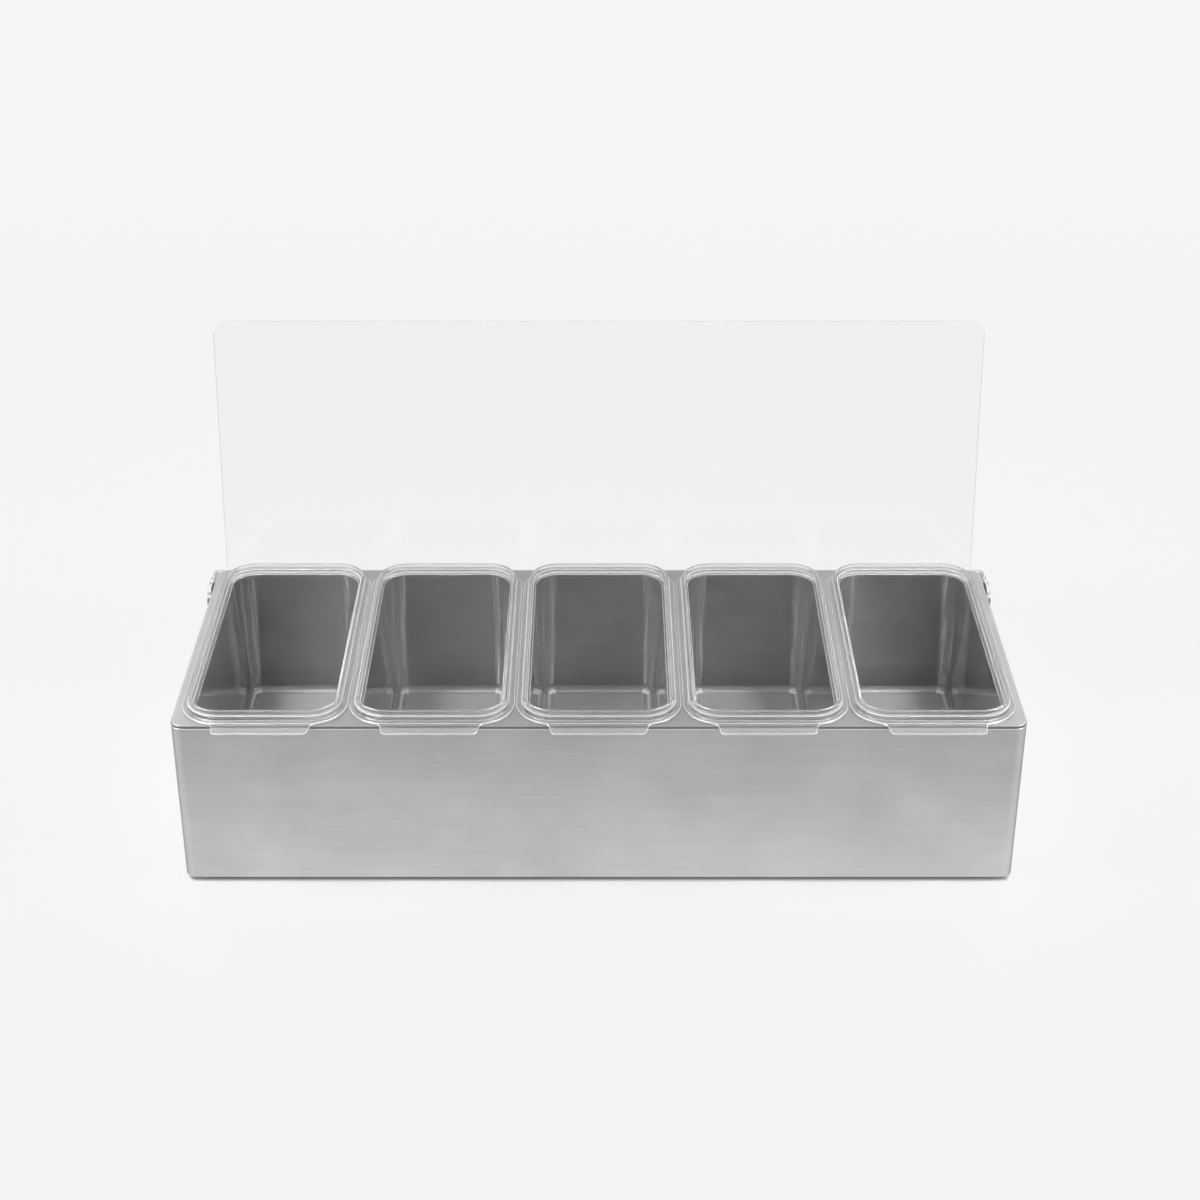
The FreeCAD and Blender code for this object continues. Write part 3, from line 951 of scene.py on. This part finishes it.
def ringProfile(radius, thickness):
    soft = min(hingeSize["softEdge"], thickness / 3)
    bore = hingeSize["bore"]
    return [(bore, 0.0), (radius - soft, 0.0), (radius, soft), (radius, thickness - soft),
            (radius - soft, thickness), (bore, thickness)]


def screwProfile(radius, height, stem, inside):
    head = [(r, stem + z) for r, z in domeProfile(radius, height)]
    return [(0.0, -inside), (hingeSize["shank"], -inside), (hingeSize["shank"], 0.0),
            (hingeSize["shoulder"], 0.0), (hingeSize["shoulder"], stem)] + head


def padProfile(radius, height):
    edge = hingeSize["padEdge"]
    return [(0.0, 0.0), (radius, 0.0)] + [(r, edge + z) for r, z in domeProfile(radius, height - edge)]


def pairUp(name, bm, finish, place, slot, node):
    piece = newPiece(name, bm, finish)
    grown(piece, mirrorPair, {"Place": place, "Finish": finish})
    fasten(piece, "base", slot, f"{node}_left", f"{node}_right")


def hingeRings(name, node, finish, slot):
    low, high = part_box(f"{node}_right")
    middle = (low + high) / 2
    profile = ringProfile((high.z - low.z) / 2, high.x - low.x)
    pairUp(name, spun(profile, tip=(90, "Y")), finish, (low.x, middle.y, middle.z), slot, node)


def hingeScrews():
    low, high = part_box("hinge_screw_right")
    middle = (low + high) / 2
    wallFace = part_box("hinge_spacer_right")[0].x
    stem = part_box("hinge_washer_right")[1].x - wallFace
    profile = screwProfile((high.z - low.z) / 2, high.x - wallFace - stem, stem, wallFace - low.x)
    bm = spun(profile, hollow=False, tip=(90, "Y"))
    pairUp("hingeScrews", bm, screwSteel, (wallFace, middle.y, middle.z), "bright_metal", "hinge_screw")


def lidPads():
    low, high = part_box("lid_bumper_right")
    middle = (low + high) / 2
    bm = spun(padProfile((high.x - low.x) / 2, high.y - low.y), hollow=False, tip=(-90, "X"))
    pairUp("lidPads", bm, footRubber, (middle.x, low.y, middle.z), "black_rubber", "lid_bumper")


hingeRings("hingeSpacers", "hinge_spacer", washerBlack, "black_washer")
hingeRings("hingeWashers", "hinge_washer", spacerNylon, "pale_nylon")
hingeScrews()
lidPads()
print("feet and hinge hardware made")

cameraView = {
    "fromDeck": (0.0007, -1.1894, 0.6811),  # from the middle of the deck's top
    "tilt": 61.317,
    "lens": 66.35,
    "sensor": 36.0,
    "sightEnd": 50,
}


def addCamera():
    lens = bpy.data.cameras.new("photoCamera")
    lens.sensor_width = cameraView["sensor"]
    lens.lens = cameraView["lens"]
    lens.clip_end = cameraView["sightEnd"]
    camera = bpy.data.objects.new("photoCamera", lens)
    low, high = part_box("deck_plate")
    camera.location = Vector((0, (low.y + high.y) / 2, high.z)) + Vector(cameraView["fromDeck"])
    camera.rotation_euler = (math.radians(cameraView["tilt"]), 0, 0)
    bpy.context.scene.collection.objects.link(camera)
    bpy.context.scene.camera = camera


studio = {
    "floorNear": (0.893, 0.886, 0.870),
    "floorFar": (0.922, 0.920, 0.905),
    "farRise": (0.5, 0.2),  # slope and start of the change from near to far
    "floorPaint": (0.80, 0.795, 0.785),
    "floorHalf": 12,
    "floorShade": (0.25, 0.25, 0.25),  # mirrored from in front of the paper
    "shadeRun": (-0.12, -0.44),
    "shadowShare": 0.14,
    "shadowFall": (1.5, 1.6),  # strength in the middle and loss per metre
    "contactEdge": 4 * mm,  # soft edge of the shadow under the box
    "backdrop": (0.92, 0.92, 0.91),
    "overhead": (0.78, 0.78, 0.79),  # a little darker between the side screens
    "screens": (1.0, 1.0, 1.0),  # at the sides, behind the box
    "frontScreens": (1.6, 1.6, 1.6),  # and in front of it
    "overheadRun": (0.04, 0.2),  # directions, as shares of the way to an axis
    "backdropRun": (0.25, 0.6),
    "backdropTop": (0.2, 0.45),
    "frontRun": (0.1, -0.2),
    "fill": 0.6,
    "narrowLamp": 90,
    "lamps": {
        "leftLamp": {"place": (-1.1, -0.3, 1.3), "aim": (0, 0, 0.1), "size": 0.8, "power": 10.0},
        "rightLamp": {"place": (1.1, -0.3, 1.3), "aim": (0, 0, 0.1), "size": 0.8, "power": 9.0},
        "backLeftLamp": {"place": (-0.9, 0.9, 1.3), "aim": (0, 0, 0.1), "size": 0.6, "power": 6.0},
        "backRightLamp": {"place": (0.9, 0.9, 1.3), "aim": (0, 0, 0.1), "size": 0.6, "power": 6.0},
        "leftPool": {"place": (-0.5, -0.1, 0.9), "aim": (-0.18, 0.0, 0.03), "size": 0.2, "power": 0.16,
                     "spread": 23},
        "rightPool": {"place": (0.5, -0.1, 0.9), "aim": (0.18, 0.0, 0.03), "size": 0.2, "power": 0.16,
                      "spread": 23},
    },
    "wideLamp": 180,
}


def rays(wire, *kinds):  # 1 for the named kinds of ray
    outputs = wire.add("ShaderNodeLightPath").socket.node.outputs
    total = Wire(wire.tree, outputs[f"Is {kinds[0]} Ray"])
    for kind in kinds[1:]:
        total = total + Wire(wire.tree, outputs[f"Is {kind} Ray"])
    return total.clipped()


def axes(wire, vector):
    split = wire.add("ShaderNodeSeparateXYZ", None, {"Vector": vector}).socket.node
    return [Wire(wire.tree, s) for s in split.outputs]


def addFloor():
    material, wire = newMaterial("studioFloor")
    place = wire.add("ShaderNodeTexCoord", out="Object")
    across, along = axes(wire, place)[:2]
    slope, start = studio["farRise"]
    far = (along * slope + start).clipped()
    paper = far.blend(rgba(studio["floorNear"]), rgba(studio["floorFar"]))
    mirrored = along.eased(*studio["shadeRun"]) * rays(wire, "Glossy")
    shine = wire.add("ShaderNodeEmission", None,
                     {"Color": mirrored.blend(paper, rgba(studio["floorShade"])), "Strength": 1.0})
    paint = wire.add("ShaderNodeBsdfDiffuse", None, {"Color": rgba(studio["floorPaint"])})
    away = wire.add("ShaderNodeVectorMath", {"operation": "LENGTH"}, {0: place}, out="Value")
    strength, loss = studio["shadowFall"]
    shadow = (strength - away * loss).clipped() * studio["shadowShare"]
    low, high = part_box("body_wrap")
    edge = studio["contactEdge"]
    under = 1.0
    for axis, first, last in ((across, low.x, high.x), (along, low.y, high.y)):
        under = under * axis.eased(first - edge, first + edge) * axis.eased(last + edge, last - edge)
    shadow = wire.sum("MAXIMUM", shadow, under)
    share = rays(wire, "Camera", "Glossy", "Transmission") * (1 - shadow)
    mixed = wire.add("ShaderNodeMixShader", None, {0: share, 1: paint, 2: shine})
    wire.add("ShaderNodeOutputMaterial", None, {"Surface": mixed})
    bm = bmesh.new()
    bmesh.ops.create_grid(bm, x_segments=1, y_segments=1, size=studio["floorHalf"])
    floor = newPiece("studioFloorPlane", bm, material)


def addWorld():
    world = bpy.data.worlds.new("studioWorld")
    bpy.context.scene.world = world
    world.use_nodes = True
    world.node_tree.nodes.clear()
    wire = Wire(world.node_tree)
    across, along, up = axes(wire, wire.add("ShaderNodeTexCoord", out="Generated"))
    side = (across * across).eased(*(reach ** 2 for reach in studio["overheadRun"]))
    low = along.eased(*studio["backdropRun"]) * (1 - up.eased(*studio["backdropTop"]))
    seen = wire.sum("MAXIMUM", low, rays(wire, "Camera"))
    screens = along.eased(*studio["frontRun"]).blend(rgba(studio["screens"]), rgba(studio["frontScreens"]))
    tone = seen.blend(side.blend(rgba(studio["overhead"]), screens), rgba(studio["backdrop"]))
    bright = wire.add("ShaderNodeBackground", None, {"Color": tone, "Strength": 1.0})
    fill = wire.add("ShaderNodeBackground", None, {"Color": rgba((1, 1, 1)), "Strength": studio["fill"]})
    mixed = wire.add("ShaderNodeMixShader", None,
                     {0: rays(wire, "Camera", "Glossy", "Transmission"), 1: fill, 2: bright})
    wire.add("ShaderNodeOutputWorld", None, {"Surface": mixed})


def addLamps():
    for name, lamp in studio["lamps"].items():
        light = bpy.data.lights.new(name, "AREA")
        light.shape = "SQUARE"
        light.size = lamp["size"]
        light.energy = lamp["power"]
        spread = lamp.get("spread", studio["wideLamp"])
        light.spread = math.radians(spread)
        holder = bpy.data.objects.new(name, light)
        holder.location = lamp["place"]
        holder.visible_glossy = spread > studio["narrowLamp"]  # the narrow lamps leave no glint
        toward = Vector(lamp["aim"]) - Vector(lamp["place"])
        holder.rotation_euler = toward.to_track_quat("-Z", "Y").to_euler()
        bpy.context.scene.collection.objects.link(holder)


addCamera()
addFloor()
addWorld()
addLamps()
bpy.context.scene.view_settings.view_transform = "Standard"
lightPath = {"max_bounces": 40, "transmission_bounces": 32, "glossy_bounces": 16, "diffuse_bounces": 4}
for key, value in lightPath.items():  # clear walls behind clear walls
    setattr(bpy.context.scene.cycles, key, value)
print("studio made")
